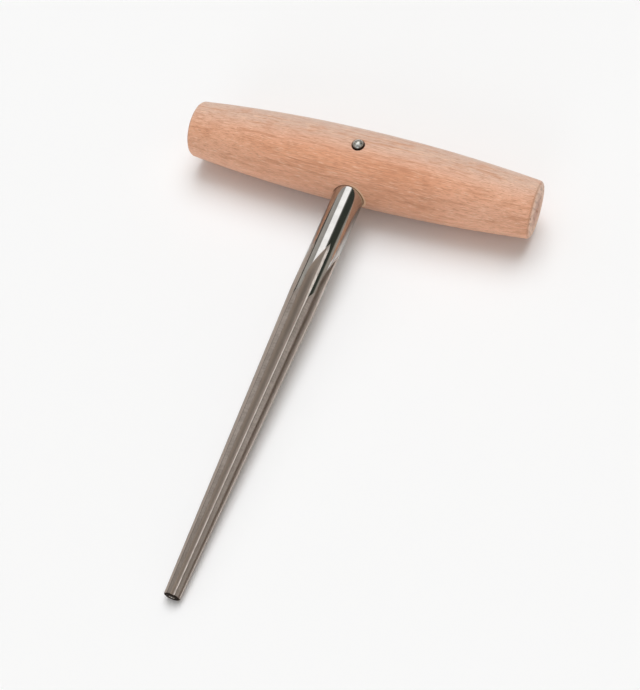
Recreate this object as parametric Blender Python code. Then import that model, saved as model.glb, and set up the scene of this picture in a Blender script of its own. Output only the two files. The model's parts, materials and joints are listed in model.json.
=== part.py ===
"""T-handled taper reamer, lying on its side as it rests on a bench.

A turned wooden handle holds one steel reamer in a blind socket, and a steel cross pin locks the two.
Units are metres and +Z is up. The handle lies along X, the reamer points towards -Y with its tip on
the bench, and the origin is at the bottom centre of the whole tool.
"""

import math

import bmesh
import bpy
from mathutils import Vector

# Handle: a barrel with rounded end edges and a small lathe mark in each end
HANDLE_LENGTH = 0.1016
HANDLE_MID_DIAMETER = 0.0214
HANDLE_END_DIAMETER = 0.0159
HANDLE_END_ROUNDING = 0.0010
LATHE_MARK_DIAMETER = 0.0016
LATHE_MARK_DEPTH = 0.0008

# Shank and its socket: distances along the reamer are measured from the handle's axis
SHANK_DIAMETER = 0.0088
SHANK_END_CHAMFER = 0.0006
SOCKET_BACK_WALL = 0.0045
SOCKET_CLEARANCE = 0.0003

# Tapered cutting length
TAPER_START = 0.0475
REAMER_REACH = 0.1325
TIP_DIAMETER = 0.00425
TIP_CHAMFER = 0.0003
TIP_CENTRE_DIAMETER = 0.0016
TIP_CENTRE_ANGLE = math.radians(60)
LAND_RELIEF = 0.0001

# Flutes: each has a radial cutting face and a flat floor square to it
FLUTE_COUNT = 6
FLUTE_FIRST_ANGLE = math.radians(27)
FLUTE_START = 0.0281
FLUTE_DEPTH_AT_TAPER_START = 0.00097
FLUTE_DEPTH_AT_TIP = 0.0003
GRINDING_WHEEL_RADIUS = 0.100

# Cross pin: its domed top stands proud of the handle, and its lower end is sunk, clear of the bench
PIN_DIAMETER = 0.003175
PIN_CLEARANCE = 0.0003
PIN_DOME_HEIGHT = 0.0006
PIN_PROUD = 0.0011
PIN_SUNK = 0.0001

# How finely the round shapes are divided
HANDLE_SEGMENTS = 60
BARREL_STEPS = 21
ROUNDING_STEPS = 3
SHANK_SEGMENTS = 64
LAND_STEPS = 8
RUNOUT_STEPS = 10
PIN_SEGMENTS = 28
DOME_STEPS = 5

# How far a cutting shape reaches past what it cuts, and the share of its pitch that a flute cutter spans
OVERCUT = 0.0015
CUTTER_SPAN = 0.8

MERGE_DISTANCE = 1e-7
SHARP_ANGLE = math.radians(20)

HANDLE_RADIUS = HANDLE_MID_DIAMETER / 2
SHANK_RADIUS = SHANK_DIAMETER / 2
SOCKET_RADIUS = SHANK_RADIUS + SOCKET_CLEARANCE
SOCKET_BOTTOM = HANDLE_RADIUS - SOCKET_BACK_WALL
SHANK_BACK_END = SOCKET_BOTTOM - SOCKET_CLEARANCE
TIP_RADIUS = TIP_DIAMETER / 2
TAPER_PER_LENGTH = (SHANK_RADIUS - TIP_RADIUS) / (REAMER_REACH - TAPER_START)
FLUTE_PITCH = math.tau / FLUTE_COUNT
PIN_HOLE_RADIUS = PIN_DIAMETER / 2 + PIN_CLEARANCE


def clear_scene():
    for obj in list(bpy.data.objects):
        bpy.data.objects.remove(obj, do_unlink=True)


def make_material(name, colour, roughness, metallic):
    material = bpy.data.materials.new(name)
    material.use_nodes = True
    shader = material.node_tree.nodes["Principled BSDF"]
    shader.inputs["Base Color"].default_value = (*colour, 1.0)
    shader.inputs["Roughness"].default_value = roughness
    shader.inputs["Metallic"].default_value = metallic
    return material


def rounded_corner(before, corner, after, radius):
    """Points of the arc that rounds one corner of a profile."""
    before, corner, after = Vector(before), Vector(corner), Vector(after)
    to_before = (before - corner).normalized()
    to_after = (after - corner).normalized()
    half_angle = to_before.angle(to_after) / 2
    centre = corner + (to_before + to_after).normalized() * radius / math.sin(half_angle)
    reach = radius / math.tan(half_angle)
    first = corner + to_before * reach - centre
    last = corner + to_after * reach - centre
    arc = []
    for step in range(ROUNDING_STEPS + 1):
        direction = first.slerp(last, step / ROUNDING_STEPS).normalized()
        arc.append(tuple(centre + radius * direction))
    return arc


def turned_mesh(name, profile, segments):
    """A solid of revolution about Z, from a profile of (radius, height) points.

    The profile starts half a segment round, so that flats, not corners, face along X and Y.
    """
    shape = bmesh.new()
    across = math.cos(math.pi / segments)
    along = math.sin(math.pi / segments)
    points = [shape.verts.new((radius * across, radius * along, height)) for radius, height in profile]
    lines = [shape.edges.new(pair) for pair in zip(points, points[1:])]
    bmesh.ops.spin(
        shape,
        geom=points + lines,
        cent=(0, 0, 0),
        axis=(0, 0, 1),
        angle=math.tau,
        steps=segments,
        use_merge=True,
    )
    return finished_mesh(name, shape)


def add_loft(shape, rings):
    """Skins a closed solid through rings that all have the same number of points."""
    loops = [[shape.verts.new(point) for point in ring] for ring in rings]
    for lower, upper in zip(loops, loops[1:]):
        for index in range(len(lower)):
            shape.faces.new((lower[index - 1], lower[index], upper[index], upper[index - 1]))
    shape.faces.new(loops[0])
    shape.faces.new(loops[-1])


def finished_mesh(name, shape):
    bmesh.ops.remove_doubles(shape, verts=shape.verts, dist=MERGE_DISTANCE)
    bmesh.ops.recalc_face_normals(shape, faces=shape.faces)
    mesh = bpy.data.meshes.new(name)
    shape.to_mesh(mesh)
    shape.free()
    return mesh


def place(name, mesh, parent, rotation=(0, 0, 0)):
    obj = bpy.data.objects.new(name, mesh)
    bpy.context.scene.collection.objects.link(obj)
    obj.parent = parent
    obj.rotation_euler = rotation
    return obj


def place_cutter(name, mesh, parent, rotation=(0, 0, 0)):
    cutter = place(name, mesh, parent, rotation)
    cutter.hide_render = True
    cutter.display_type = "WIRE"
    return cutter


def cut(target, cutter, operation="DIFFERENCE"):
    modifier = target.modifiers.new(cutter.name, "BOOLEAN")
    modifier.operation = operation
    modifier.object = cutter
    modifier.solver = "EXACT"


def finish(obj, material):
    """Applies the cuts, so that shading can follow the finished edges, and sets the material."""
    bpy.context.view_layer.update()
    evaluated = obj.evaluated_get(bpy.context.evaluated_depsgraph_get())
    mesh = bpy.data.meshes.new_from_object(evaluated)
    mesh.name = obj.name
    obj.modifiers.clear()
    obj.data = mesh
    mesh.shade_smooth()
    mesh.set_sharp_from_angle(angle=SHARP_ANGLE)
    mesh.materials.clear()
    mesh.materials.append(material)


def polar(radius, angle, height):
    """A point round the reamer: angle 0 is the pin's side, and the tool cuts towards lower angles."""
    return (radius * math.sin(angle), radius * math.cos(angle), height)


def handle_mesh():
    """The barrel's bulge is a shallow parabola about the middle of its length."""
    half_length = HANDLE_LENGTH / 2
    end_radius = HANDLE_END_DIAMETER / 2
    bulge = HANDLE_RADIUS - end_radius
    barrel = []
    for step in range(1, BARREL_STEPS):
        share = 2 * step / BARREL_STEPS - 1
        barrel.append((HANDLE_RADIUS - bulge * share**2, half_length * share))
    mark = (LATHE_MARK_DIAMETER / 2, half_length)
    edge = rounded_corner(barrel[-1], (end_radius, half_length), mark, HANDLE_END_ROUNDING)
    upper_end = edge + [mark, (0, half_length - LATHE_MARK_DEPTH)]
    lower_end = [(radius, -height) for radius, height in reversed(upper_end)]
    return turned_mesh("handle", lower_end + barrel + upper_end, HANDLE_SEGMENTS)


def socket_mesh():
    mouth = HANDLE_RADIUS + OVERCUT
    profile = [(0, -SOCKET_BOTTOM), (SOCKET_RADIUS, -SOCKET_BOTTOM), (SOCKET_RADIUS, mouth), (0, mouth)]
    return turned_mesh("socket_cutter", profile, SHANK_SEGMENTS)


def pin_hole_mesh():
    end = HANDLE_RADIUS + OVERCUT
    profile = [(0, -end), (PIN_HOLE_RADIUS, -end), (PIN_HOLE_RADIUS, end), (0, end)]
    return turned_mesh("pin_hole_cutter", profile, PIN_SEGMENTS)


def blank_mesh():
    """The round bar before grinding: chamfered back end, 45 degree nose and a centre hole in the tip."""
    tip_face_radius = TIP_RADIUS - TIP_CHAMFER
    centre_radius = TIP_CENTRE_DIAMETER / 2
    centre_depth = centre_radius / math.tan(TIP_CENTRE_ANGLE / 2)
    profile = [
        (0, -SHANK_BACK_END),
        (SHANK_RADIUS - SHANK_END_CHAMFER, -SHANK_BACK_END),
        (SHANK_RADIUS, SHANK_END_CHAMFER - SHANK_BACK_END),
        (SHANK_RADIUS, REAMER_REACH - (SHANK_RADIUS - tip_face_radius)),
        (tip_face_radius, REAMER_REACH),
        (centre_radius, REAMER_REACH),
        (0, REAMER_REACH - centre_depth),
    ]
    return turned_mesh("reamer", profile, SHANK_SEGMENTS)


def edge_radius(height):
    """Radius of the cone that the cutting edges lie on."""
    return TIP_RADIUS + TAPER_PER_LENGTH * (REAMER_REACH - height)


def land_ring(height):
    """One section of the relieved taper: each land falls from its cutting edge to the next flute."""
    ring = []
    step_back = FLUTE_PITCH / (2 * LAND_STEPS)
    for flute in range(FLUTE_COUNT):
        edge_angle = FLUTE_FIRST_ANGLE + flute * FLUTE_PITCH
        ring.append(polar(edge_radius(height), edge_angle - step_back, height))
        for step in range(LAND_STEPS):
            share = step / LAND_STEPS
            radius = edge_radius(height) - LAND_RELIEF * share
            ring.append(polar(radius, edge_angle + share * FLUTE_PITCH, height))
    return ring


def taper_mesh():
    shape = bmesh.new()
    add_loft(shape, [land_ring(-SHANK_BACK_END - OVERCUT), land_ring(REAMER_REACH + OVERCUT)])
    return finished_mesh("taper_form", shape)


def flute_foot_radius(height):
    """Radius of a flute's deepest line, without the run-out."""
    depth_change = FLUTE_DEPTH_AT_TAPER_START - FLUTE_DEPTH_AT_TIP
    share = (REAMER_REACH - height) / (REAMER_REACH - TAPER_START)
    return edge_radius(height) - FLUTE_DEPTH_AT_TIP - depth_change * share


def flute_section(angle, foot, height):
    """Section of one flute cutter: up the cutting face, across, and back down the floor."""
    outward = Vector(polar(1, angle, 0))
    along_floor = Vector(polar(1, angle - math.pi / 2, 0))
    rise = SHANK_RADIUS / 2
    run = foot * math.tan(CUTTER_SPAN * FLUTE_PITCH)
    base = outward * foot + Vector((0, 0, height))
    floor_end = base + along_floor * run
    return [base, base + outward * rise, floor_end + outward * rise, floor_end]


def flute_mesh():
    """Six cutters: straight along the taper, then lifting out of the shank on the wheel's radius."""
    lift_at_start = SHANK_RADIUS - flute_foot_radius(FLUTE_START)
    runout_length = math.sqrt(2 * GRINDING_WHEEL_RADIUS * lift_at_start)
    runout_end = FLUTE_START + runout_length
    first = FLUTE_START - OVERCUT
    sections = []
    for step in range(RUNOUT_STEPS + 1):
        height = first + (runout_end - first) * step / RUNOUT_STEPS
        lift = (runout_end - height) ** 2 / (2 * GRINDING_WHEEL_RADIUS)
        sections.append((flute_foot_radius(height) + lift, height))
    last = REAMER_REACH + OVERCUT
    sections.append((flute_foot_radius(last), last))
    shape = bmesh.new()
    for flute in range(FLUTE_COUNT):
        angle = FLUTE_FIRST_ANGLE + flute * FLUTE_PITCH
        add_loft(shape, [flute_section(angle, foot, height) for foot, height in sections])
    return finished_mesh("flute_cutter", shape)


def pin_mesh():
    """A rod with a spherical dome on each end."""
    radius = PIN_DIAMETER / 2
    top = HANDLE_RADIUS + PIN_PROUD
    bottom = PIN_SUNK - HANDLE_RADIUS
    sphere = (radius**2 + PIN_DOME_HEIGHT**2) / (2 * PIN_DOME_HEIGHT)
    half_angle = math.asin(radius / sphere)
    dome = []
    for step in range(DOME_STEPS + 1):
        angle = half_angle * (1 - step / DOME_STEPS)
        dome.append((sphere * math.sin(angle), sphere * (1 - math.cos(angle))))
    upper = [(distance, top - drop) for distance, drop in dome]
    lower = [(distance, bottom + drop) for distance, drop in reversed(dome)]
    return turned_mesh("cross_pin", lower + upper, PIN_SEGMENTS)


def rest_frame():
    """An empty on the handle's axis, turned so that the tip and the handle both lie on the bench."""
    rim_distance = REAMER_REACH - TIP_CHAMFER
    reach_to_rim = math.hypot(rim_distance, TIP_RADIUS)
    tilt = math.asin(HANDLE_RADIUS / reach_to_rim) - math.atan2(TIP_RADIUS, rim_distance)
    tip_face_radius = TIP_RADIUS - TIP_CHAMFER
    furthest = REAMER_REACH * math.cos(tilt) + tip_face_radius * math.sin(tilt)
    frame = bpy.data.objects.new("tool_frame", None)
    bpy.context.scene.collection.objects.link(frame)
    frame.location = (0, (furthest - HANDLE_RADIUS) / 2, HANDLE_RADIUS)
    frame.rotation_euler = (tilt, 0, 0)
    return frame


def main():
    clear_scene()
    wood = make_material("turned_wood", (0.66, 0.37, 0.23), 0.55, 0.0)
    steel = make_material("ground_steel", (0.42, 0.38, 0.35), 0.28, 1.0)
    pin_steel = make_material("pin_steel", (0.60, 0.60, 0.58), 0.30, 1.0)

    frame = rest_frame()
    along_handle = (0, math.pi / 2, 0)
    along_reamer = (math.pi / 2, 0, 0)
    handle = place("handle", handle_mesh(), frame, along_handle)
    reamer = place("reamer", blank_mesh(), frame, along_reamer)
    cross_pin = place("cross_pin", pin_mesh(), frame)

    socket = place_cutter("socket_cutter", socket_mesh(), frame, along_reamer)
    pin_hole = place_cutter("pin_hole_cutter", pin_hole_mesh(), frame)
    taper = place_cutter("taper_form", taper_mesh(), frame, along_reamer)
    flutes = place_cutter("flute_cutter", flute_mesh(), frame, along_reamer)

    cut(handle, socket)
    cut(handle, pin_hole)
    cut(reamer, taper, "INTERSECT")
    cut(reamer, flutes)
    cut(reamer, pin_hole)

    finish(handle, wood)
    finish(reamer, steel)
    finish(cross_pin, pin_steel)


main()
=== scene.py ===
"""Looks of the taper reamer: fine meshes, wood and steel finishes, a pale floor and soft studio light.

Lengths are metres, and places on a finish are millimetres. Every mesh is built on the tool's own axes:
X along the handle, -Y along the reamer towards its tip, and +Z along the cross pin. TOOL places those axes
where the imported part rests.
"""

import json
import math

import bmesh
import bpy
from mathutils import Matrix, Vector


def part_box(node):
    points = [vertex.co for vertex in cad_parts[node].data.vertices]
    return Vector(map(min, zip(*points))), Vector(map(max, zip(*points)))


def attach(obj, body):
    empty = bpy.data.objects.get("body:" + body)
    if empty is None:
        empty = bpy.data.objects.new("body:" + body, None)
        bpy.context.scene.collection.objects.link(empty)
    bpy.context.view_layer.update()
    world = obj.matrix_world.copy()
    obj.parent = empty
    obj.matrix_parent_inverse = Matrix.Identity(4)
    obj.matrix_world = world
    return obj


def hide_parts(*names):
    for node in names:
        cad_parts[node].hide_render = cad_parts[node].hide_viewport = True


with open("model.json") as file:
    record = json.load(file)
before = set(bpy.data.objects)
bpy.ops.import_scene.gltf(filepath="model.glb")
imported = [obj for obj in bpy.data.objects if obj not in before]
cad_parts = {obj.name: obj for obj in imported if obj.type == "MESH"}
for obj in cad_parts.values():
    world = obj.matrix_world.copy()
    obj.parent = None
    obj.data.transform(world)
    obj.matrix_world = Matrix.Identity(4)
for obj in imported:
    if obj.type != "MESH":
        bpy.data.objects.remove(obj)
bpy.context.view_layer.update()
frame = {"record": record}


def colour(red, green, blue):
    """A display colour, 0 to 255 in each channel, as linear light by the sRGB curve."""
    linear = []
    for value in (red, green, blue):
        share = value / 255
        linear.append(share / 12.92 if share <= 0.04045 else ((share + 0.055) / 1.055) ** 2.4)
    return (*linear, 1.0)


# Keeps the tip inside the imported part's box, whose figures are rounded
ROUNDING_ALLOWANCE = 1e-6

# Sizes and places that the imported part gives
handle_low, handle_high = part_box("handle")
mounts = {mount["name"]: mount for mount in frame["record"]["mounts"]}
tip_direction = Vector(mounts["tip_face"]["axis"])
tip_point = Vector(mounts["tip_face"]["pos_m"])

HANDLE_HALF_LENGTH = handle_high.x
HANDLE_RADIUS = (handle_high.z - handle_low.z) / 2
HANDLE_CENTRE = Vector((0, handle_high.y - HANDLE_RADIUS, handle_low.z + HANDLE_RADIUS))
REST_TILT = math.atan2(-tip_direction.z, -tip_direction.y)
REAMER_REACH = (tip_point - HANDLE_CENTRE).dot(tip_direction) - ROUNDING_ALLOWANCE
SHANK_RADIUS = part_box("reamer")[1].x
PIN_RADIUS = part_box("cross_pin")[1].x
TOOL = Matrix.Translation(HANDLE_CENTRE) @ Matrix.Rotation(REST_TILT, 4, "X")

# Handle: each of the two pin holes reaches past the handle's axis, so that they meet
HANDLE_END_RADIUS = 0.00795
HANDLE_END_ROUNDING = 0.0010
LATHE_MARK_RADIUS = 0.0008
LATHE_MARK_DEPTH = 0.0008
SOCKET_BOTTOM = 0.0062
SOCKET_GAP = 0.00003
SOCKET_EDGE = 0.0002
PIN_HOLE_GAP = 0.00026
PIN_HOLE_EDGE = 0.00015
PIN_HOLE_OVERLAP = 0.001

# Reamer: distances along it are measured from the handle's axis
SHANK_BACK_END = 0.0059
SHANK_END_CHAMFER = 0.0006
TAPER_START = 0.0462
TIP_RADIUS = 0.002125
TIP_CHAMFER = 0.0003
TIP_CENTRE_RADIUS = 0.0008
TIP_CENTRE_DEPTH = 0.00139
LAND_RELIEF = 0.0002
FLUTE_COUNT = 6
FLUTE_FIRST_ANGLE = math.radians(27)
FLUTE_START = 0.0281
FLUTE_RUNOUT = 0.0122
FLUTE_DEPTH_AT_TAPER_START = 0.00139
FLUTE_DEPTH_AT_TIP = 0.00042
FLUTE_FLOOR_TILT = math.radians(10)
FLUTE_HOLLOW = 0.28
FLUTE_SPAN_AT_TAPER_START = math.radians(37.5)
FLUTE_SPAN_AT_TIP = math.radians(28)
BEVEL_RUN_AT_SHANK = 0.0006
BEVEL_RUN_AT_TAPER = 0.00022
BEVEL_NARROWS = (0.042, 0.050)
BEVEL_RUN_PER_DEPTH = 5
BEVEL_TILT = math.radians(22)

# Cross pin
PIN_PROUD = 0.0011
PIN_SUNK = 0.0001
PIN_DOME_HEIGHT = 0.0008
PIN_EDGE = 0.0002

# Worked out from the sizes above
BULGE = HANDLE_RADIUS - HANDLE_END_RADIUS
TAPER_PER_LENGTH = (SHANK_RADIUS - TIP_RADIUS) / (REAMER_REACH - TAPER_START)
FLUTE_PITCH = math.tau / FLUTE_COUNT

# How finely the round shapes are divided
HANDLE_SEGMENTS = 192
BARREL_STEPS = 150
ROUNDING_STEPS = 10
END_FACE_STEPS = 4
HOLE_SEGMENTS = 128
SHANK_STEPS = 8
RUNOUT_STEPS = 40
STRAIGHT_STEPS = 44
TAPER_STEPS = 60
CHAMFER_STEPS = 6
LAND_STEPS = 16
FLOOR_STEPS = 14
HEEL_PASSES = 4
PIN_SEGMENTS = 64
PIN_EDGE_STEPS = 4
DOME_STEPS = 14

# Cutting, merging and shading of the meshes
OVERCUT = 0.002
MERGE_DISTANCE = 1e-7
SHARP_ANGLE = math.radians(8)

# Turns a length into the millimetres that the finishes work in
MILLIMETRES = 1000

# The ranges that most of a noise pattern, or its middle, falls in
WIDE_NOISE = (0.3, 0.7)
MIDDLE_NOISE = (0.35, 0.65)

# Wood grain: repeats of each pattern to a millimetre, along the handle and across it
DRIFT_SCALE = (0.03, 0.10, 0.10)
STREAK_SCALE = (0.035, 0.9, 0.9)
MOTTLING_SCALE = (0.16, 0.4, 0.4)
FLECK_SCALE = (0.3, 3.6, 3.6)
DASH_SCALE = (0.35, 8.0, 8.0)
TONE_SCALE = (0.02, 0.06, 0.06)
PORE_SCALE = (0.0, 1.1, 1.1)
RING_SCALE = 0.15

# How far the grain drifts off its straight run
STREAK_DRIFT = (0.0, 3.0, 3.0)
FLECK_DRIFT = (0.0, 1.0, 1.0)

# Growth rings run round the tree's centre, this far in front of the handle's centre and below it
TREE_CENTRE = (0.0, 26.0, 9.0)
ACROSS_ONLY = (0.0, 1.0, 1.0)

# Marks on the wood: a darker figure, paler ends, painted shade on the underside, and painted sheen and
# shade along the top of the back. Where each kind starts and where it is full, from the handle's centre
FIGURE_ALONG = (4.0, 26.0)
FIGURE_BLUR = 12.0
FIGURE_FRONT = (1.0, -6.0)
UNDER_ALONG = (-24.0, 26.0)
UNDER_BLUR = 16.0
UNDER_DOWN = (2.0, -5.0)
PALER_END = (16.0, 42.0)
BACK_SHEEN_RANGE = (-4.0, 5.0)
BACK_SHADE_RANGE = (3.0, 8.0)
SHEEN_AND_SHADE_TOP = (-3.0, 3.5)
PATCHINESS = 3.0
HEART_RADIUS = (4.0, 7.0)

# Edges of the wood: bands inside the handle's ends and outside the shank; the band outside the shank is a
# paler cut edge and a painted highlight, on the socket's right side only
END_FACE_INSET = 0.3
END_RIM_INSETS = (0.55, 0.15)
END_RIM_BLUR = 0.3
SOCKET_RIM_OUTSETS = (0.1, 0.75)
SOCKET_RIM_BLUR = 0.25
SOCKET_RIM_RIGHT = (-1.0, 2.5)
SOCKET_RIM_FRONT = (-4.0, -6.0)

# Wood colours and gloss
WOOD_DEEP = colour(231, 166, 129)
WOOD_PALE = colour(239, 176, 142)
WOOD_RING = colour(214, 147, 109)
WOOD_FIGURE = colour(214, 146, 107)
WOOD_UNDERSIDE_SHADE = colour(186, 144, 122)
WOOD_PALER_END = colour(236, 181, 149)
WOOD_BACK_SHEEN = colour(216, 188, 170)
WOOD_BACK_SHADE_AND_SHEEN = colour(194, 175, 165)
WOOD_MOTTLING = colour(208, 143, 106)
WOOD_STREAK = colour(200, 135, 98)
WOOD_DARK_FLECK = colour(188, 126, 93)
WOOD_PALE_FLECK = colour(244, 202, 172)
WOOD_DASH = colour(178, 118, 86)
WOOD_END_RIM = colour(168, 118, 88)
WOOD_SOCKET_RIM_HIGHLIGHT = colour(234, 196, 158)
END_GRAIN_HEART = colour(206, 164, 146)
END_GRAIN_PALE = colour(238, 206, 186)
END_GRAIN_RING = colour(168, 126, 104)
END_GRAIN_PORE = colour(112, 76, 64)
WOOD_ROUGHNESS = (0.48, 0.62)
WOOD_SPECULAR = 0.5
END_GRAIN_SPECULAR = 0.1
WOOD_SHEEN = 0.22
WOOD_SHEEN_ROUGHNESS = 0.5
WOOD_SHEEN_TINT = (1.0, 0.93, 0.87, 1.0)
WOOD_BUMP_STRENGTH = 0.35
WOOD_BUMP_HEIGHT = 0.00012

# Marks on the steel, in repeats to a millimetre
LINES_ALONG_SCALE = (9.0, 0.25, 9.0)
LINES_ROUND_SCALE = (0.5, 2.2, 0.5)
NICK_SCALE = (1.0, 0.5, 1.0)
STAIN_SCALE = 0.25

# Places on the steel: in from the shank's skin, along from the handle's axis, and up from the tip's end
POLISHED_INSETS = (0.012, 0.004)
DARKER_TIP_START = 85.0
TIP_END_BAND = (0.35, 0.2)
CENTRE_EDGE = 0.04
CENTRE_STARTS = (0.02, 0.1)
CENTRE_SHADE_DEPTHS = (0.08, 0.3)
CENTRE_STOPS = (2.0, 1.9)

# Bands beside a cutting edge, in half widths of its bevel, and the flute's edge in radians
EDGE_BAND = (-1.0, 1.0)
EDGE_BLUR = 0.5
BURR_BAND = (1.2, 3.2)
BURR_BLUR = 0.6
FACE_BAND = (0.0, -1.0)
FLUTE_EDGE = (0.0, 0.04)

# Steel colours and gloss
GROUND_DULL = colour(204, 195, 188)
GROUND_PALE = colour(217, 208, 201)
GROUND_LINE = colour(179, 168, 159)
GROUND_DARKER_TIP = colour(180, 169, 160)
GROUND_TINT = (0.45, 0.45, 0.46, 1.0)
FLUTE_DULL = colour(196, 183, 174)
FLUTE_PALE = colour(208, 195, 186)
BURR_SHADOW = colour(150, 138, 129)
EDGE_LINE = colour(206, 197, 189)
POLISHED_DULL = colour(193, 191, 188)
POLISHED_PALE = colour(202, 200, 197)
POLISHED_TINT = (0.7, 0.7, 0.7, 1.0)
TIP_END = colour(64, 56, 50)
CENTRE_RIM = colour(222, 213, 204)
CENTRE_SHADE = colour(14, 12, 11)
GROUND_ROUGHNESS = (0.78, 0.9)
FLUTE_ROUGHNESS = 0.42
EDGE_ROUGHNESS = 0.4
POLISHED_ROUGHNESS = (0.05, 0.09)
GROUND_BUMP_STRENGTH = 0.3
POLISHED_BUMP_STRENGTH = 0.02
STEEL_BUMP_HEIGHT = 0.00004

# The pin's stains and dents, the painted shade in a dark band inside its rim, and its colours and gloss
PIN_STAIN_SCALE = 1.6
PIN_DENT_SCALE = 2.2
PIN_RIM_SHADE_INSETS = (0.22, 0.02)
PIN_DULL = colour(186, 184, 178)
PIN_PALE = colour(228, 228, 224)
PIN_RIM_SHADE = colour(40, 32, 26)
PIN_ROUGHNESS = (0.2, 0.34)
PIN_BUMP_STRENGTH = 0.4
PIN_BUMP_HEIGHT = 0.0001

# The photograph's camera, on the tool's axes. The handle's centre shows at HANDLE_CENTRE_PIXEL.
IMAGE_WIDTH = 640
IMAGE_HEIGHT = 690
FOCAL_LENGTH_PIXELS = 1369.764
SENSOR_SIZE = 36
CAMERA_AZIMUTH = math.radians(32.402)
CAMERA_ELEVATION = math.radians(59.925)
CAMERA_ROLL = math.radians(-13.038)
CAMERA_DISTANCE = 0.384975
CAMERA_CLIP_START = 0.01
HANDLE_CENTRE_PIXEL = (361.557, 168.008)

# Studio light, on the world's axes. The panel's edges are distances on a sheet one unit above the tool.
SUN_STRENGTH = 1.41
SUN_COLOUR = (0.965, 0.978, 1.0)
SUN_ANGLE = math.radians(45)
SUN_DIRECTION = Vector((-0.01, 0.405, 1.0))
PANEL_X = (-0.53, 0.215)
PANEL_Y = (-0.2, 0.95)
PANEL_BLUR = 0.08
PANEL_LIGHT = (1.5, 1.5, 1.5, 1.0)
CARD_HALF_WIDTH = 0.27
CARD_BLUR = 0.2
CARD_TURN = (0.05, 0.2)
CARD_TOP = (0.55, 0.45)
CARD_LIGHT = (2.1, 2.2, 2.3, 1.0)
FLAG_DIRECTION = Vector((0.57, 0.47, 0.67)).normalized()
FLAG_INNER = math.radians(15)
FLAG_OUTER = math.radians(26)
FLAG_LIGHT = (0.05, 0.055, 0.045, 1.0)
BAND_HEIGHT = (0.16, 0.37)
BAND_BLUR = 0.05
BAND_TURN = (0.0, -0.3)
BAND_LIGHT = (0.12, 0.10, 0.085, 1.0)
FILL_TURN = (0.0, 0.8)
FRONT_FILL = (0.405, 0.42, 0.43, 1.0)
BACK_FILL = (0.325, 0.30, 0.265, 1.0)
SIDE_TURN = (0.1, 0.9)
LEFT_FILL = (0.55, 0.525, 0.49, 1.0)
RIGHT_FILL = (0.46, 0.42, 0.37, 1.0)
NEAR_HORIZON = 0.02

# Floor
FLOOR_HALF_SIZE = 15.0
FLOOR_COLOUR = colour(248, 248, 248)


# Meshes


def skinned_mesh(name, rings):
    """A closed surface through rings of equally many points. An end ring drawn to one point closes it."""
    shape = bmesh.new()
    loops = [[shape.verts.new(point) for point in ring] for ring in rings]
    for lower, upper in zip(loops, loops[1:]):
        for index in range(len(lower)):
            shape.faces.new((lower[index - 1], lower[index], upper[index], upper[index - 1]))
    bmesh.ops.remove_doubles(shape, verts=shape.verts, dist=MERGE_DISTANCE)
    bmesh.ops.recalc_face_normals(shape, faces=shape.faces)
    mesh = bpy.data.meshes.new(name)
    shape.to_mesh(mesh)
    shape.free()
    return mesh


def add_object(name, mesh):
    """Turns a mesh from the tool's axes to its place on the floor and adds it to the scene."""
    mesh.transform(TOOL)
    obj = bpy.data.objects.new(name, mesh)
    bpy.context.scene.collection.objects.link(obj)
    return obj


def cut(target, cutter_mesh):
    """Takes a cutting shape out of a piece for good."""
    cutter = add_object("cutter", cutter_mesh)
    modifier = target.modifiers.new("cut", "BOOLEAN")
    modifier.object = cutter
    modifier.solver = "EXACT"
    bpy.context.view_layer.update()
    evaluated = target.evaluated_get(bpy.context.evaluated_depsgraph_get())
    mesh = bpy.data.meshes.new_from_object(evaluated)
    target.modifiers.clear()
    target.data = mesh
    bpy.data.objects.remove(cutter)


def add_piece(obj, node, material):
    """Shades a piece, gives it its finish and puts it in the place of a node of the part."""
    obj.data.name = obj.name
    obj.data.shade_smooth()
    obj.data.set_sharp_from_angle(angle=SHARP_ANGLE)
    obj.data.materials.clear()
    obj.data.materials.append(material)
    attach(obj, "root")
    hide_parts(node)


def circle(radius, count):
    """Points round a circle, as places on two axes, half a step off those axes."""
    angles = [math.tau * (index + 0.5) / count for index in range(count)]
    return [(radius * math.cos(angle), radius * math.sin(angle)) for angle in angles]


def barrel_radius(along):
    """The handle's radius at a distance from its middle: a shallow parabola."""
    return HANDLE_RADIUS - BULGE * (along / HANDLE_HALF_LENGTH) ** 2


def handle_profile():
    """(distance along the handle, radius) from the middle of one end face to the middle of the other."""
    inner = HANDLE_HALF_LENGTH - HANDLE_END_ROUNDING
    half = []
    for step in range(BARREL_STEPS // 2 + 1):
        along = inner * 2 * step / BARREL_STEPS
        half.append((along, barrel_radius(along)))
    for step in range(1, ROUNDING_STEPS + 1):
        turn = math.pi / 2 * step / ROUNDING_STEPS
        along = inner + HANDLE_END_ROUNDING * math.sin(turn)
        half.append((along, barrel_radius(along) - HANDLE_END_ROUNDING * (1 - math.cos(turn))))
    face_radius = half[-1][1]
    for step in range(1, END_FACE_STEPS + 1):
        share = 1 - step / END_FACE_STEPS
        half.append((HANDLE_HALF_LENGTH, LATHE_MARK_RADIUS + share * (face_radius - LATHE_MARK_RADIUS)))
    half.append((HANDLE_HALF_LENGTH - LATHE_MARK_DEPTH, 0))
    return [(-along, radius) for along, radius in reversed(half[1:])] + half


def handle_mesh():
    rings = []
    for along, radius in handle_profile():
        rings.append([(along, back, up) for back, up in circle(radius, HANDLE_SEGMENTS)])
    return skinned_mesh("handle", rings)


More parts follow.
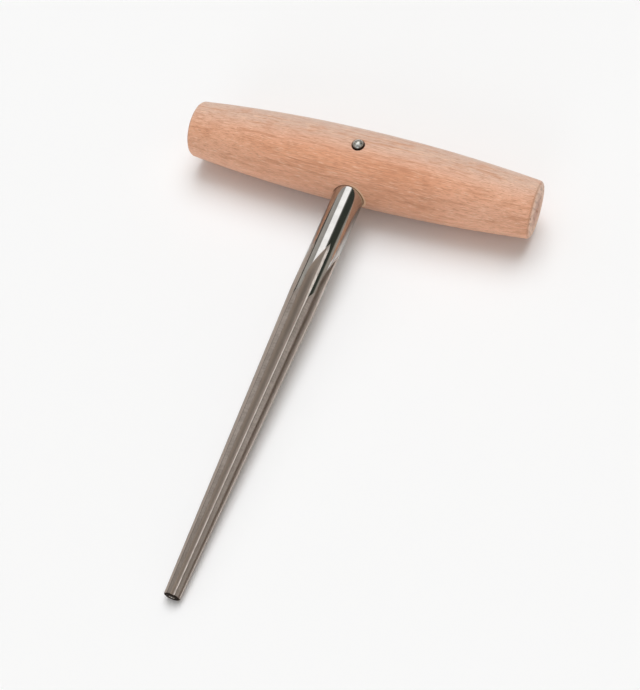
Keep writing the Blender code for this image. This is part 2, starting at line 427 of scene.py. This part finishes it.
def hole_cutter(radius, edge, bottom, toward):
    """A round cutter whose mouth eases the edge that it leaves in the barrel.

    toward turns (along the handle, across the hole, out of the handle) into a point on the tool's axes.
    """
    def flat_ring(ring_radius, height):
        return [toward(along, across, height) for along, across in circle(ring_radius, HOLE_SEGMENTS)]

    def fitted_ring(ring_radius, above_surface):
        points = []
        for along, across in circle(ring_radius, HOLE_SEGMENTS):
            surface = math.sqrt(barrel_radius(along) ** 2 - across**2)
            points.append(toward(along, across, surface + above_surface))
        return points

    rings = [
        flat_ring(0, bottom),
        flat_ring(radius, bottom),
        fitted_ring(radius, -edge),
        fitted_ring(radius + edge, 0),
        fitted_ring(radius + edge + OVERCUT, OVERCUT),
        flat_ring(0, HANDLE_RADIUS + 2 * OVERCUT),
    ]
    return skinned_mesh("hole_cutter", rings)


def toward_tip(along, across, outward):
    return (along, -outward, across)


def toward_top(along, across, outward):
    return (along, across, outward)


def toward_bottom(along, across, outward):
    return (along, across, -outward)


def edge_radius(height):
    """Radius of the cone that the cutting edges lie on."""
    return TIP_RADIUS + TAPER_PER_LENGTH * (REAMER_REACH - height)


def land_radius(height, share):
    """Radius of a land, share of a pitch behind its cutting edge: ground taper or plain bar."""
    return min(SHANK_RADIUS, edge_radius(height) * (1 - LAND_RELIEF / SHANK_RADIUS * share))


def flute_depth(height):
    """Depth of a flute below its cutting edge, which ramps smoothly out of the bar near the handle."""
    share = min(1, (REAMER_REACH - height) / (REAMER_REACH - TAPER_START))
    depth = FLUTE_DEPTH_AT_TIP + (FLUTE_DEPTH_AT_TAPER_START - FLUTE_DEPTH_AT_TIP) * share
    ramp = min(1, max(0, height - FLUTE_START) / FLUTE_RUNOUT)
    return depth * ramp**2 * (3 - 2 * ramp)


def bevel_run(height):
    """How far across the bright bevel on a cutting edge runs: wider on the bar than on the taper."""
    first, last = BEVEL_NARROWS
    share = min(1, max(0, (height - first) / (last - first)))
    return BEVEL_RUN_AT_SHANK + (BEVEL_RUN_AT_TAPER - BEVEL_RUN_AT_SHANK) * share


def floor_run(foot, start, radius):
    """How far across a flute its straight floor, which rises from the foot of the face, meets a radius."""
    slope = math.tan(FLUTE_FLOOR_TILT)
    square = 1 + slope**2
    half = foot * slope + start
    root = math.sqrt(max(half**2, half**2 + square * (radius**2 - foot**2 - start**2)))
    return start + (root - half) / square


def tooth_points(height):
    """(radius, angle behind the cutting edge) over a tooth: land, flute floor, face and bevelled edge."""
    depth = flute_depth(height)
    edge = land_radius(height, 0)
    foot = edge - depth
    bevel = min(bevel_run(height), depth * BEVEL_RUN_PER_DEPTH)
    face = bevel / 2
    slope = math.tan(FLUTE_FLOOR_TILT)
    heel = FLUTE_PITCH / 2
    run = 0
    # The land's relief moves the heel a little, so its angle is found in a few passes
    for _ in range(HEEL_PASSES):
        run = floor_run(foot, face, land_radius(height, heel / FLUTE_PITCH))
        heel = FLUTE_PITCH - math.atan2(run, foot + (run - face) * slope)
    points = []
    start = face / edge
    for step in range(LAND_STEPS + 1):
        angle = start + (heel - start) * step / LAND_STEPS
        points.append((land_radius(height, angle / FLUTE_PITCH), angle))
    for step in range(1, FLOOR_STEPS + 1):
        share = step / FLOOR_STEPS
        across = run + (face - run) * share
        rise = foot + (across - face) * slope
        rise -= FLUTE_HOLLOW * (run - face) * share * (1 - share)
        points.append((math.hypot(rise, across), FLUTE_PITCH - math.atan2(across, rise)))
    rise = edge - min(depth, bevel * math.tan(BEVEL_TILT))
    points.append((math.hypot(rise, face), FLUTE_PITCH - math.atan2(face, rise)))
    return points


def reamer_ring(height):
    """One section of the reamer, held inside the 45 degree chamfer at the tip."""
    limit = TIP_RADIUS - TIP_CHAMFER + REAMER_REACH - height
    tooth = tooth_points(height)
    ring = []
    for flute in range(FLUTE_COUNT):
        first = FLUTE_FIRST_ANGLE + flute * FLUTE_PITCH
        for radius, angle in tooth:
            radius = min(radius, limit)
            ring.append((radius * math.sin(first + angle), -height, radius * math.cos(first + angle)))
    return ring


def round_ring(radius, height):
    """A plain circle with as many points as a reamer ring, turned the same way."""
    ring = []
    for point in reamer_ring(SHANK_BACK_END):
        angle = math.atan2(point[0], point[2])
        ring.append((radius * math.sin(angle), -height, radius * math.cos(angle)))
    return ring


def spaced(first, last, count):
    """Even steps from first up to last, which is left to the next run."""
    return [first + (last - first) * step / count for step in range(count)]


def reamer_mesh():
    runout_end = FLUTE_START + FLUTE_RUNOUT
    chamfer_start = REAMER_REACH - TIP_CHAMFER
    heights = spaced(SHANK_END_CHAMFER - SHANK_BACK_END, FLUTE_START, SHANK_STEPS)
    heights += spaced(FLUTE_START, runout_end, RUNOUT_STEPS)
    heights += spaced(runout_end, TAPER_START, STRAIGHT_STEPS)
    heights += spaced(TAPER_START, chamfer_start, TAPER_STEPS)
    heights += spaced(chamfer_start, REAMER_REACH, CHAMFER_STEPS)
    heights.append(REAMER_REACH)
    rings = [
        round_ring(0, -SHANK_BACK_END),
        round_ring(SHANK_RADIUS - SHANK_END_CHAMFER, -SHANK_BACK_END),
        *(reamer_ring(height) for height in heights),
        round_ring(TIP_CENTRE_RADIUS, REAMER_REACH),
        round_ring(0, REAMER_REACH - TIP_CENTRE_DEPTH),
    ]
    return skinned_mesh("reamer", rings)


def pin_end_profile():
    """(radius, depth below the top of the dome) from a pin end's eased edge to the middle of its dome."""
    sphere = (PIN_RADIUS**2 + PIN_DOME_HEIGHT**2) / (2 * PIN_DOME_HEIGHT)
    profile = [(PIN_RADIUS, PIN_DOME_HEIGHT + PIN_EDGE)]
    for step in range(1, PIN_EDGE_STEPS):
        turn = math.pi / 2 * step / PIN_EDGE_STEPS
        rounding = PIN_EDGE * (1 - math.cos(turn)) / 2
        profile.append((PIN_RADIUS - rounding, PIN_DOME_HEIGHT + PIN_EDGE * (1 - math.sin(turn))))
    half_angle = math.asin((PIN_RADIUS - PIN_EDGE / 2) / sphere)
    for step in range(DOME_STEPS + 1):
        angle = half_angle * (1 - step / DOME_STEPS)
        profile.append((sphere * math.sin(angle), sphere * (1 - math.cos(angle))))
    return profile


def turned_upright(name, profile):
    """A surface of (radius, height) points turned round the cross pin's axis."""
    rings = []
    for radius, height in profile:
        rings.append([(along, back, height) for along, back in circle(radius, PIN_SEGMENTS)])
    return skinned_mesh(name, rings)


def pin_mesh():
    end = pin_end_profile()
    profile = [(radius, PIN_SUNK - HANDLE_RADIUS + depth) for radius, depth in reversed(end)]
    profile += [(radius, HANDLE_RADIUS + PIN_PROUD - depth) for radius, depth in end]
    return turned_upright("cross_pin", profile)


def pin_bore():
    """The cutter for the hole through the shank."""
    radius = PIN_RADIUS + PIN_HOLE_GAP
    bottom, top = -HANDLE_RADIUS, HANDLE_RADIUS
    return turned_upright("pin_bore", [(0, bottom), (radius, bottom), (radius, top), (0, top)])


# Materials


class Nodes:
    """Short calls that add nodes to a node tree."""

    def __init__(self, tree):
        self.tree = tree

    def fill(self, socket, value):
        """Links another node's output to a socket, or sets the socket to a constant."""
        if isinstance(value, bpy.types.NodeSocket):
            self.tree.links.new(value, socket)
        else:
            socket.default_value = value

    def set(self, node, name, value):
        self.fill(next(s for s in node.inputs if s.name == name and s.enabled), value)

    def add(self, kind, inputs, **settings):
        node = self.tree.nodes.new(kind)
        for name, value in settings.items():
            setattr(node, name, value)
        for name, value in inputs.items():
            self.set(node, name, value)
        return node

    def output(self, node):
        return next(s for s in node.outputs if s.enabled)

    def operate(self, kind, operation, values):
        """The result of a maths node."""
        node = self.add(kind, {}, operation=operation)
        for socket, value in zip(node.inputs, values):
            self.fill(socket, value)
        return self.output(node)

    def calc(self, operation, *numbers):
        return self.operate("ShaderNodeMath", operation, numbers)

    def times(self, first, second):
        return self.calc("MULTIPLY", first, second)

    def length(self, first, second):
        """Length of the vector that two numbers at right angles make."""
        squares = [self.times(number, number) for number in (first, second)]
        return self.calc("SQRT", self.calc("ADD", *squares))

    def stretch(self, vector, scales):
        return self.operate("ShaderNodeVectorMath", "MULTIPLY", (vector, scales))

    def shift(self, vector, offset):
        return self.operate("ShaderNodeVectorMath", "ADD", (vector, offset))

    def dot(self, vector, other):
        return self.operate("ShaderNodeVectorMath", "DOT_PRODUCT", (vector, other))

    def axes(self, vector):
        return self.add("ShaderNodeSeparateXYZ", {"Vector": vector}).outputs

    def noise(self, vector, scale=1.0, detail=2.0, roughness=0.5, output="Fac"):
        inputs = {"Vector": vector, "Scale": scale, "Detail": detail, "Roughness": roughness}
        return self.add("ShaderNodeTexNoise", inputs).outputs[output]

    def spread(self, value, low, high, to_low, to_high, kind="SMOOTHSTEP"):
        """Carries the range from low to high over to another range, and holds it at its ends."""
        inputs = {"Value": value, "From Min": low, "From Max": high, "To Min": to_low, "To Max": to_high}
        return self.output(self.add("ShaderNodeMapRange", inputs, interpolation_type=kind))

    def fade(self, value, start, end, strength=1.0):
        """0 before the start, rising smoothly to a strength at the end."""
        return self.spread(value, start, end, 0.0, strength)

    def window(self, value, low, high, blur):
        """1 where a value lies between two edges, with blurred edges."""
        rise = self.fade(value, low - blur / 2, low + blur / 2)
        fall = self.fade(value, high + blur / 2, high - blur / 2)
        return self.times(rise, fall)

    def blend(self, factor, first, second):
        """A number between two others."""
        inputs = {"Factor": factor, "A": first, "B": second}
        return self.output(self.add("ShaderNodeMix", inputs, data_type="FLOAT"))

    def mix(self, factor, first, second):
        """A colour between two others."""
        inputs = {"Factor": factor, "A": first, "B": second}
        return self.output(self.add("ShaderNodeMix", inputs, data_type="RGBA"))

    def layer(self, base, coats):
        """Lays (strength, colour) coats over a base colour in turn."""
        for strength, coat in coats:
            base = self.mix(strength, base, coat)
        return base


class Finish(Nodes):
    """A material with its Principled shader."""

    def __init__(self, name):
        self.material = bpy.data.materials.new(name)
        self.material.use_nodes = True
        super().__init__(self.material.node_tree)
        self.surface = self.tree.nodes["Principled BSDF"]

    def millimetres(self):
        """The place on the tool's axes, in millimetres."""
        inputs = {
            "Vector": self.tree.nodes.new("ShaderNodeTexCoord").outputs["Object"],
            "Location": HANDLE_CENTRE,
            "Rotation": (REST_TILT, 0.0, 0.0),
            "Scale": (1 / MILLIMETRES, 1 / MILLIMETRES, 1 / MILLIMETRES),
        }
        return self.output(self.add("ShaderNodeMapping", inputs, vector_type="TEXTURE"))

    def bump(self, height, strength, distance):
        inputs = {"Height": height, "Strength": strength, "Distance": distance}
        return self.output(self.add("ShaderNodeBump", inputs))

    def shade(self, inputs):
        """Sets inputs of the shader."""
        for name, value in inputs.items():
            self.set(self.surface, name, value)


def wood_grain(wood, place):
    """Patterns from 0 to 1 that run along the handle, on a grain that drifts slowly."""
    drift = wood.noise(wood.stretch(place, DRIFT_SCALE), detail=1.0, output="Color")
    bent = wood.shift(place, wood.stretch(drift, STREAK_DRIFT))
    straight = wood.shift(place, wood.stretch(drift, FLECK_DRIFT))
    from_tree = wood.shift(wood.stretch(bent, ACROSS_ONLY), TREE_CENTRE)
    rings = wood.add(
        "ShaderNodeTexWave",
        {"Vector": from_tree, "Scale": RING_SCALE, "Distortion": 1.5, "Detail": 2.0, "Detail Scale": 0.4},
        wave_type="RINGS",
        rings_direction="X",
        wave_profile="SAW",
    )
    return {
        "rings": rings.outputs["Fac"],
        "streaks": wood.noise(wood.stretch(bent, STREAK_SCALE), detail=3.0),
        "mottling": wood.noise(wood.stretch(bent, MOTTLING_SCALE)),
        "flecks": wood.noise(wood.stretch(straight, FLECK_SCALE), roughness=0.6),
        "dashes": wood.noise(wood.stretch(straight, DASH_SCALE), detail=1.0),
        "tone": wood.noise(wood.stretch(place, TONE_SCALE)),
        "pores": wood.noise(wood.stretch(place, PORE_SCALE), roughness=0.6),
    }


def side_grain(wood, place, grain):
    """Colour of the barrel: a darker figure at the front, painted shade on the underside, paler ends,
    painted sheen and shade along the top of the back, then the fine grain.
    """
    along, back, up = wood.axes(place)
    figure = wood.window(along, *FIGURE_ALONG, FIGURE_BLUR)
    figure = wood.times(figure, wood.fade(back, *FIGURE_FRONT, 0.5))
    # Painted shade: the underside turns darker and greyer, where less light reaches it
    painted_under_shade = wood.window(along, *UNDER_ALONG, UNDER_BLUR)
    painted_under_shade = wood.times(painted_under_shade, wood.fade(up, *UNDER_DOWN, 0.55))
    on_top = wood.fade(up, *SHEEN_AND_SHADE_TOP)
    patchy_back = wood.calc("ADD", back, wood.times(grain["mottling"], PATCHINESS))
    return wood.layer(
        wood.mix(wood.fade(grain["tone"], *MIDDLE_NOISE), WOOD_DEEP, WOOD_PALE),
        (
            (wood.times(grain["rings"], 0.3), WOOD_RING),
            (figure, WOOD_FIGURE),
            (painted_under_shade, WOOD_UNDERSIDE_SHADE),
            # Paler towards both ends
            (wood.fade(wood.calc("ABSOLUTE", along), *PALER_END, 0.5), WOOD_PALER_END),
            # Painted sheen, a paler greyer band along the top of the back, then painted shade and sheen,
            # darker grey at the very back
            (wood.times(wood.fade(patchy_back, *BACK_SHEEN_RANGE, 0.85), on_top), WOOD_BACK_SHEEN),
            (wood.times(wood.fade(back, *BACK_SHADE_RANGE, 0.5), on_top), WOOD_BACK_SHADE_AND_SHEEN),
            (wood.fade(grain["mottling"], 0.50, 0.70, 0.40), WOOD_MOTTLING),
            (wood.fade(grain["streaks"], 0.50, 0.70, 0.60), WOOD_STREAK),
            (wood.fade(grain["flecks"], 0.53, 0.70, 0.50), WOOD_DARK_FLECK),
            (wood.fade(grain["flecks"], 0.46, 0.30, 0.65), WOOD_PALE_FLECK),
            (wood.fade(grain["dashes"], 0.56, 0.70, 0.60), WOOD_DASH),
        ),
    )


def end_grain(wood, place, grain):
    """Colour of the handle's end faces: a darker heart, rings and pores."""
    _, back, up = wood.axes(place)
    patchy_radius = wood.calc("ADD", wood.length(back, up), wood.times(grain["mottling"], PATCHINESS))
    return wood.layer(
        wood.mix(wood.fade(patchy_radius, *HEART_RADIUS), END_GRAIN_HEART, END_GRAIN_PALE),
        (
            (wood.fade(grain["rings"], 0.55, 0.90, 0.35), END_GRAIN_RING),
            (wood.fade(grain["pores"], 0.57, 0.66, 0.75), END_GRAIN_PORE),
        ),
    )


def wood_finish():
    """Turned hardwood, with end grain on its faces, and at the right of the socket's mouth a paler cut
    edge brightened as a painted highlight.
    """
    wood = Finish("turned_wood")
    place = wood.millimetres()
    along, back, up = wood.axes(place)
    from_middle = wood.calc("ABSOLUTE", along)
    grain = wood_grain(wood, place)
    end = HANDLE_HALF_LENGTH * MILLIMETRES
    shank = SHANK_RADIUS * MILLIMETRES
    on_end = wood.fade(from_middle, end - END_FACE_INSET, end)
    end_rim = wood.window(from_middle, *(end - inset for inset in END_RIM_INSETS), END_RIM_BLUR)
    # Painted highlight on the paler cut edge round the shank, kept to the socket's right side
    socket_edges = [shank + outset for outset in SOCKET_RIM_OUTSETS]
    socket_rim_highlight = wood.window(wood.length(along, up), *socket_edges, SOCKET_RIM_BLUR)
    socket_rim_highlight = wood.times(socket_rim_highlight, wood.fade(along, *SOCKET_RIM_RIGHT, 0.75))
    socket_rim_highlight = wood.times(socket_rim_highlight, wood.fade(back, *SOCKET_RIM_FRONT))
    base = wood.layer(
        side_grain(wood, place, grain),
        (
            (wood.times(end_rim, 0.4), WOOD_END_RIM),
            (socket_rim_highlight, WOOD_SOCKET_RIM_HIGHLIGHT),
            (wood.times(on_end, 0.85), end_grain(wood, place, grain)),
        ),
    )
    height = wood.calc("ADD", wood.times(grain["flecks"], 0.6), wood.times(grain["dashes"], 0.4))
    wood.shade(
        {
            "Base Color": base,
            "Roughness": wood.spread(grain["streaks"], *WIDE_NOISE, *WOOD_ROUGHNESS),
            "Specular IOR Level": wood.spread(on_end, 0.0, 1.0, WOOD_SPECULAR, END_GRAIN_SPECULAR),
            "Sheen Weight": wood.spread(on_end, 0.0, 1.0, WOOD_SHEEN, 0.0),
            "Sheen Roughness": WOOD_SHEEN_ROUGHNESS,
            "Sheen Tint": WOOD_SHEEN_TINT,
            "Normal": wood.bump(height, WOOD_BUMP_STRENGTH, WOOD_BUMP_HEIGHT),
        }
    )
    return wood.material


def steel_finish():
    """Ground lands and flutes with bright cutting edges, a polished shank and a dark hole in the tip, its
    darkness painted shade.
    """
    steel = Finish("ground_steel")
    place = steel.millimetres()
    across, along, up = steel.axes(place)
    radius = steel.length(across, up)
    shank = SHANK_RADIUS * MILLIMETRES
    tip = -REAMER_REACH * MILLIMETRES
    taper_start = -TAPER_START * MILLIMETRES
    polished = steel.fade(radius, *(shank - inset for inset in POLISHED_INSETS))

    # Places across a tooth, measured from its cutting edge in half widths of the bevel
    turn = steel.calc("SUBTRACT", steel.calc("ARCTAN2", across, up), FLUTE_FIRST_ANGLE)
    turn = steel.calc("WRAP", turn, FLUTE_PITCH / 3, -FLUTE_PITCH * 2 / 3)
    narrows = [-height * MILLIMETRES for height in BEVEL_NARROWS]
    half_bevels = [run * MILLIMETRES / 2 for run in (BEVEL_RUN_AT_SHANK, BEVEL_RUN_AT_TAPER)]
    half_bevel = steel.spread(along, *narrows, *half_bevels, "LINEAR")
    past_edge = steel.calc("DIVIDE", steel.times(turn, radius), half_bevel)
    nicks = steel.noise(steel.stretch(place, NICK_SCALE), detail=3.0, roughness=0.7)
    edge_line = steel.window(past_edge, *EDGE_BAND, EDGE_BLUR)
    edge_line = steel.times(edge_line, steel.spread(nicks, 0.35, 0.55, 0.55, 1.0))
    burr_shadow = steel.window(past_edge, *BURR_BAND, BURR_BLUR)
    spans = (FLUTE_SPAN_AT_TIP, FLUTE_SPAN_AT_TAPER_START)
    span = steel.spread(along, tip, taper_start, *spans, "LINEAR")
    in_flute = steel.fade(steel.calc("ADD", turn, span), *FLUTE_EDGE)
    in_flute = steel.times(in_flute, steel.fade(past_edge, *FACE_BAND))

    # The tip's end face, and the centre hole in it, which painted shade darkens deeper in
    depth_in = steel.calc("SUBTRACT", along, tip)
    on_tip_end = steel.fade(along, *(tip + height for height in TIP_END_BAND))
    centre_radius = TIP_CENTRE_RADIUS * MILLIMETRES
    centre = steel.fade(radius, centre_radius + CENTRE_EDGE, centre_radius)
    centre = steel.times(centre, steel.fade(depth_in, *CENTRE_STARTS))
    centre = steel.times(centre, steel.fade(depth_in, *CENTRE_STOPS))
    # Painted shade: the hole's wall turns black deeper in, past a paler mouth
    centre_wall_shade = steel.mix(steel.fade(depth_in, *CENTRE_SHADE_DEPTHS), CENTRE_RIM, CENTRE_SHADE)

    lines_along = steel.noise(steel.stretch(place, LINES_ALONG_SCALE))
    lines_round = steel.noise(steel.stretch(place, LINES_ROUND_SCALE), detail=3.0, roughness=0.7)
    stain = steel.noise(place, STAIN_SCALE, detail=4.0, roughness=0.6)
    stained = steel.fade(stain, *MIDDLE_NOISE)
    base = steel.layer(
        steel.mix(stained, GROUND_DULL, GROUND_PALE),
        (
            (steel.fade(lines_round, 0.4, 0.7, 0.5), GROUND_LINE),
            # Darker towards the tip
            (steel.fade(along, -DARKER_TIP_START, tip, 0.7), GROUND_DARKER_TIP),
            (in_flute, steel.mix(stain, FLUTE_DULL, FLUTE_PALE)),
            (steel.times(burr_shadow, 0.5), BURR_SHADOW),
            (edge_line, EDGE_LINE),
            (polished, steel.mix(stained, POLISHED_DULL, POLISHED_PALE)),
            (on_tip_end, TIP_END),
            (centre, centre_wall_shade),
        ),
    )
    rough = steel.spread(lines_along, *WIDE_NOISE, *GROUND_ROUGHNESS)
    rough = steel.blend(in_flute, rough, FLUTE_ROUGHNESS)
    rough = steel.blend(edge_line, rough, EDGE_ROUGHNESS)
    smooth = steel.spread(stain, *WIDE_NOISE, *POLISHED_ROUGHNESS)
    height = steel.calc("ADD", lines_along, lines_round)
    strength = steel.blend(polished, GROUND_BUMP_STRENGTH, POLISHED_BUMP_STRENGTH)
    steel.shade(
        {
            "Base Color": base,
            "Metallic": 1.0,
            "Specular Tint": steel.mix(polished, GROUND_TINT, POLISHED_TINT),
            "Roughness": steel.blend(polished, rough, smooth),
            "Normal": steel.bump(height, strength, STEEL_BUMP_HEIGHT),
        }
    )
    return steel.material


def pin_finish():
    """Stained, slightly dented steel, with painted shade in a dark band inside its rim, where it meets its
    hole.
    """
    pin = Finish("pin_steel")
    place = pin.millimetres()
    along, back, _ = pin.axes(place)
    stain = pin.noise(place, PIN_STAIN_SCALE, detail=4.0, roughness=0.6)
    dents = pin.noise(place, PIN_DENT_SCALE)
    rim = PIN_RADIUS * MILLIMETRES
    # Painted shade: a dark band inside the rim, where the pin meets its hole
    rim_shade = pin.fade(pin.length(along, back), *(rim - inset for inset in PIN_RIM_SHADE_INSETS), 0.95)
    stained = pin.mix(pin.fade(stain, *MIDDLE_NOISE), PIN_DULL, PIN_PALE)
    pin.shade(
        {
            "Base Color": pin.mix(rim_shade, stained, PIN_RIM_SHADE),
            "Metallic": 1.0,
            "Roughness": pin.spread(stain, *WIDE_NOISE, *PIN_ROUGHNESS),
            "Normal": pin.bump(dents, PIN_BUMP_STRENGTH, PIN_BUMP_HEIGHT),
        }
    )
    return pin.material


def floor_finish():
    floor = Finish("pale_floor")
    floor.shade({"Base Color": FLOOR_COLOUR, "Roughness": 1.0, "Specular IOR Level": 0.0})
    return floor.material


# Pieces


def build_pieces():
    handle = add_object("turned_handle", handle_mesh())
    cut(handle, hole_cutter(SHANK_RADIUS + SOCKET_GAP, SOCKET_EDGE, -SOCKET_BOTTOM, toward_tip))
    for toward in (toward_top, toward_bottom):
        cut(handle, hole_cutter(PIN_RADIUS + PIN_HOLE_GAP, PIN_HOLE_EDGE, -PIN_HOLE_OVERLAP, toward))
    reamer = add_object("fluted_reamer", reamer_mesh())
    cut(reamer, pin_bore())
    cross_pin = add_object("domed_pin", pin_mesh())
    add_piece(handle, "handle", wood_finish())
    add_piece(reamer, "reamer", steel_finish())
    add_piece(cross_pin, "cross_pin", pin_finish())


# Studio


def build_floor():
    corners = [(-1, -1), (1, -1), (1, 1), (-1, 1)]
    points = [(right * FLOOR_HALF_SIZE, back * FLOOR_HALF_SIZE, 0) for right, back in corners]
    mesh = bpy.data.meshes.new("floor")
    mesh.from_pydata(points, [], [(0, 1, 2, 3)])
    mesh.materials.append(floor_finish())
    floor = bpy.data.objects.new("floor", mesh)
    bpy.context.scene.collection.objects.link(floor)


def build_sun():
    """The softbox as a lamp. Metal reflects the panel that the sky shows in the same place instead."""
    softbox = bpy.data.lights.new("softbox", "SUN")
    softbox.energy = SUN_STRENGTH
    softbox.angle = SUN_ANGLE
    softbox.color = SUN_COLOUR
    lamp = bpy.data.objects.new("softbox", softbox)
    lamp.rotation_euler = SUN_DIRECTION.to_track_quat("Z", "Y").to_euler()
    lamp.visible_glossy = False
    bpy.context.scene.collection.objects.link(lamp)


def build_sky():
    """Soft light all round, and in it the shapes that the polished shank reflects.

    They are a panel overhead, a card in front, a dark band on the left and a dark flag at the back right.
    """
    world = bpy.data.worlds.new("studio")
    bpy.context.scene.world = world
    world.use_nodes = True
    sky = Nodes(world.node_tree)
    direction = sky.tree.nodes.new("ShaderNodeTexCoord").outputs["Generated"]
    right, back, up = sky.axes(direction)
    height = sky.calc("MAXIMUM", up, NEAR_HORIZON)
    forward = sky.calc("MAXIMUM", sky.times(back, -1.0), NEAR_HORIZON)

    panel_x = sky.window(sky.calc("DIVIDE", right, height), *PANEL_X, PANEL_BLUR)
    panel_y = sky.window(sky.calc("DIVIDE", back, height), *PANEL_Y, PANEL_BLUR)
    flag = sky.fade(sky.dot(direction, FLAG_DIRECTION), math.cos(FLAG_OUTER), math.cos(FLAG_INNER))
    band = sky.times(sky.window(up, *BAND_HEIGHT, BAND_BLUR), sky.fade(right, *BAND_TURN))
    card = sky.window(sky.calc("DIVIDE", right, forward), -CARD_HALF_WIDTH, CARD_HALF_WIDTH, CARD_BLUR)
    card = sky.times(card, sky.fade(forward, *CARD_TURN))
    card = sky.times(card, sky.fade(up, *CARD_TOP))

    side_start, side_end = SIDE_TURN
    light = sky.layer(
        sky.mix(sky.fade(back, *FILL_TURN), FRONT_FILL, BACK_FILL),
        (
            (sky.fade(right, side_start, side_end), RIGHT_FILL),
            (sky.fade(right, -side_start, -side_end), LEFT_FILL),
            (card, CARD_LIGHT),
            (band, BAND_LIGHT),
            (flag, FLAG_LIGHT),
            (sky.times(panel_x, panel_y), PANEL_LIGHT),
        ),
    )
    sky.set(sky.tree.nodes["Background"], "Color", light)


def build_camera():
    back = Vector(
        (
            math.sin(CAMERA_AZIMUTH) * math.cos(CAMERA_ELEVATION),
            -math.cos(CAMERA_AZIMUTH) * math.cos(CAMERA_ELEVATION),
            math.sin(CAMERA_ELEVATION),
        )
    )
    level = Vector((math.cos(CAMERA_AZIMUTH), math.sin(CAMERA_AZIMUTH), 0))
    above = back.cross(level)
    right = level * math.cos(CAMERA_ROLL) + above * math.sin(CAMERA_ROLL)
    up = above * math.cos(CAMERA_ROLL) - level * math.sin(CAMERA_ROLL)
    pixel = CAMERA_DISTANCE / FOCAL_LENGTH_PIXELS
    place = back * CAMERA_DISTANCE
    place -= right * (HANDLE_CENTRE_PIXEL[0] - IMAGE_WIDTH / 2) * pixel
    place += up * (HANDLE_CENTRE_PIXEL[1] - IMAGE_HEIGHT / 2) * pixel
    data = bpy.data.cameras.new("camera")
    data.sensor_width = SENSOR_SIZE
    data.lens = FOCAL_LENGTH_PIXELS * SENSOR_SIZE / IMAGE_HEIGHT
    data.clip_start = CAMERA_CLIP_START
    camera = bpy.data.objects.new("camera", data)
    bpy.context.scene.collection.objects.link(camera)
    facing = Matrix((right, up, back)).transposed().to_4x4()
    camera.matrix_world = TOOL @ Matrix.Translation(place) @ facing
    bpy.context.scene.camera = camera


build_pieces()
build_floor()
build_sun()
build_sky()
build_camera()
bpy.context.scene.view_settings.view_transform = "Standard"
